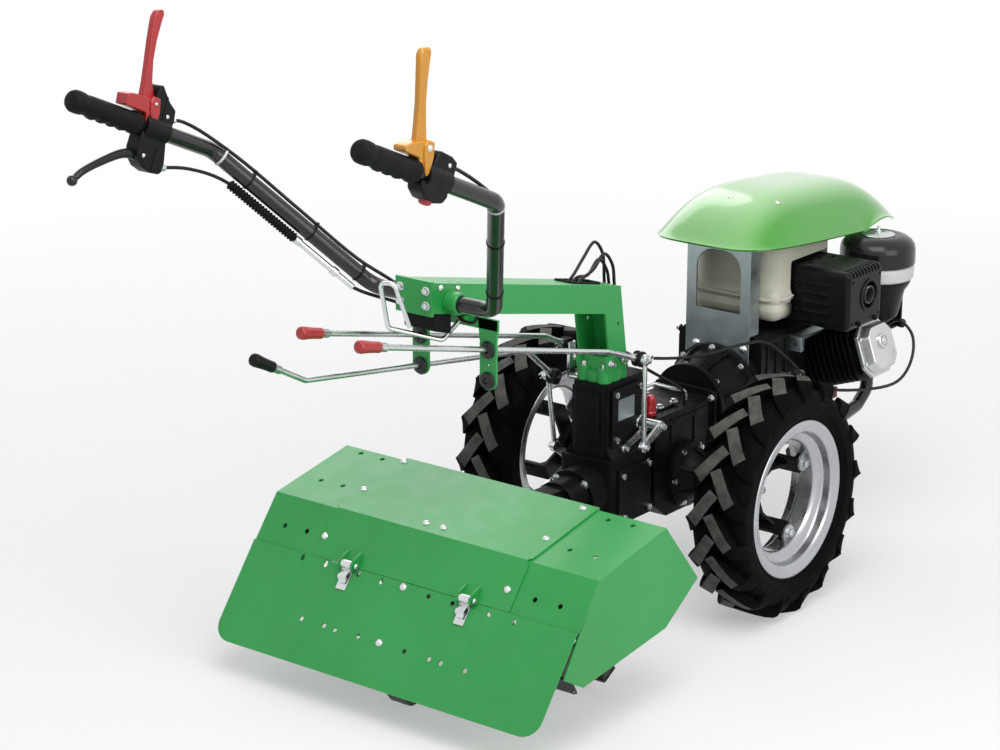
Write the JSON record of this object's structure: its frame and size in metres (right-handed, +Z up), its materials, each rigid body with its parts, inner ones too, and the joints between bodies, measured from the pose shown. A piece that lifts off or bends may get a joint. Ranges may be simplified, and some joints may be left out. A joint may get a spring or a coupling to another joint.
{
  "type": "walking tractor with rotary tiller",
  "caption": "Two-wheel walking tractor with a four-stroke engine ahead of the axle, long offset handlebars, control rods and a hooded rotary tiller behind.",
  "frame": {"origin": "centre of the bounding box on the floor under the machine", "axes": "+X to the engine end (forward), +Y to the operator's left, +Z up"},
  "size_m": [1.8908, 0.7, 1.196],
  "materials": {
    "black_plastic": "satin black plastic",
    "gearbox_aluminium": "black paint on a casting",
    "lime_plastic": "glossy lime green plastic",
    "cable_jacket": "black plastic jacket",
    "black_steel": "black powder coat",
    "orange_plastic": "glossy orange plastic",
    "black_rubber": "matte rubber",
    "green_paint": "satin green enamel",
    "zinc": "bright zinc plate",
    "engine_aluminium": "black paint on die-cast aluminium",
    "red_plastic": "glossy red plastic",
    "tank_plastic": "off-white blow-moulded plastic",
    "red_plug": "moulded red plastic",
    "silver_rim": "silver lacquer on pressed steel",
    "tiller_iron": "black paint on a casting",
    "rotor_steel": "black paint worn to steel at the tines",
    "tyre": "matte moulded rubber with worn lug faces",
    "bare_aluminium": "plain cast aluminium"
  },
  "bodies": {
    "chassis": {"air_filter_body": "black_plastic", "air_filter_cap": "black_plastic", "axle_housing_left": "gearbox_aluminium", "axle_housing_right": "gearbox_aluminium", "bell_housing": "gearbox_aluminium", "bonnet": "lime_plastic", "brake_cable": "cable_jacket", "brake_lever": "black_steel", "clutch_cable": "cable_jacket", "clutch_lever": "orange_plastic", "column_buffer": "black_rubber", "column_foot": "green_paint", "depth_skid": "black_steel", "drive_crank": "zinc", "drive_rod": "zinc", "engine_base": "black_steel", "engine_block": "engine_aluminium", "engine_cylinder": "engine_aluminium", "engine_stop_lever": "red_plastic", "flap_hinge_left": "green_paint", "flap_hinge_right": "green_paint", "front_bumper": "black_steel", "fuel_tank": "tank_plastic", "gear_tower": "gearbox_aluminium", "grip_left": "black_rubber", "grip_right": "black_rubber", "handlebar": "black_steel", "handlebar_clamp": "green_paint", "handlebar_column": "green_paint", "hood_bracket": "black_steel", "hood_center": "green_paint", "hood_side_left": "green_paint", "hood_side_right": "green_paint", "lever_housing_left": "black_plastic", "lever_housing_right": "black_plastic", "muffler": "black_steel", "oil_plug": "red_plug", "recoil_cover": "black_plastic", "release_loop": "zinc", "rod_hanger": "green_paint", "speed_linkage": "zinc", "speed_rod": "zinc", "stop_cable": "cable_jacket", "tank_bracket": "zinc", "tiller_gearcase": "tiller_iron", "tiller_linkage": "zinc", "tiller_rod": "zinc", "transmission_case": "gearbox_aluminium", "valve_cover": "bare_aluminium"},
    "wheel_left": {"tyre_left": "tyre", "rim_left": "silver_rim", "wheel_hub_left": "black_steel"},
    "wheel_right": {"tyre_right": "tyre", "rim_right": "silver_rim", "wheel_hub_right": "black_steel"},
    "tiller_rotor": {"tiller_rotor": "rotor_steel"},
    "rear_flap": {"rear_flap": "green_paint", "flap_clip_left": "zinc", "flap_clip_right": "zinc"}
  },
  "joints": [
    {"name": "wheel_left_spin", "type": "hinge", "parent": "chassis", "child": "wheel_left", "pos_m": [0.2474, 0.261, 0.222], "axis": [0, 1, 0], "continuous": true},
    {"name": "wheel_right_spin", "type": "hinge", "parent": "chassis", "child": "wheel_right", "pos_m": [0.2474, -0.261, 0.222], "axis": [0, 1, 0], "continuous": true},
    {"name": "tiller_spin", "type": "hinge", "parent": "chassis", "child": "tiller_rotor", "pos_m": [-0.3176, 0, 0.15], "axis": [0, 1, 0], "continuous": true},
    {"name": "flap_hinge", "type": "hinge", "parent": "chassis", "child": "rear_flap", "pos_m": [-0.49574, 0, 0.21847], "axis": [0, 1, 0], "range_deg": [0, 85]}
  ]
}
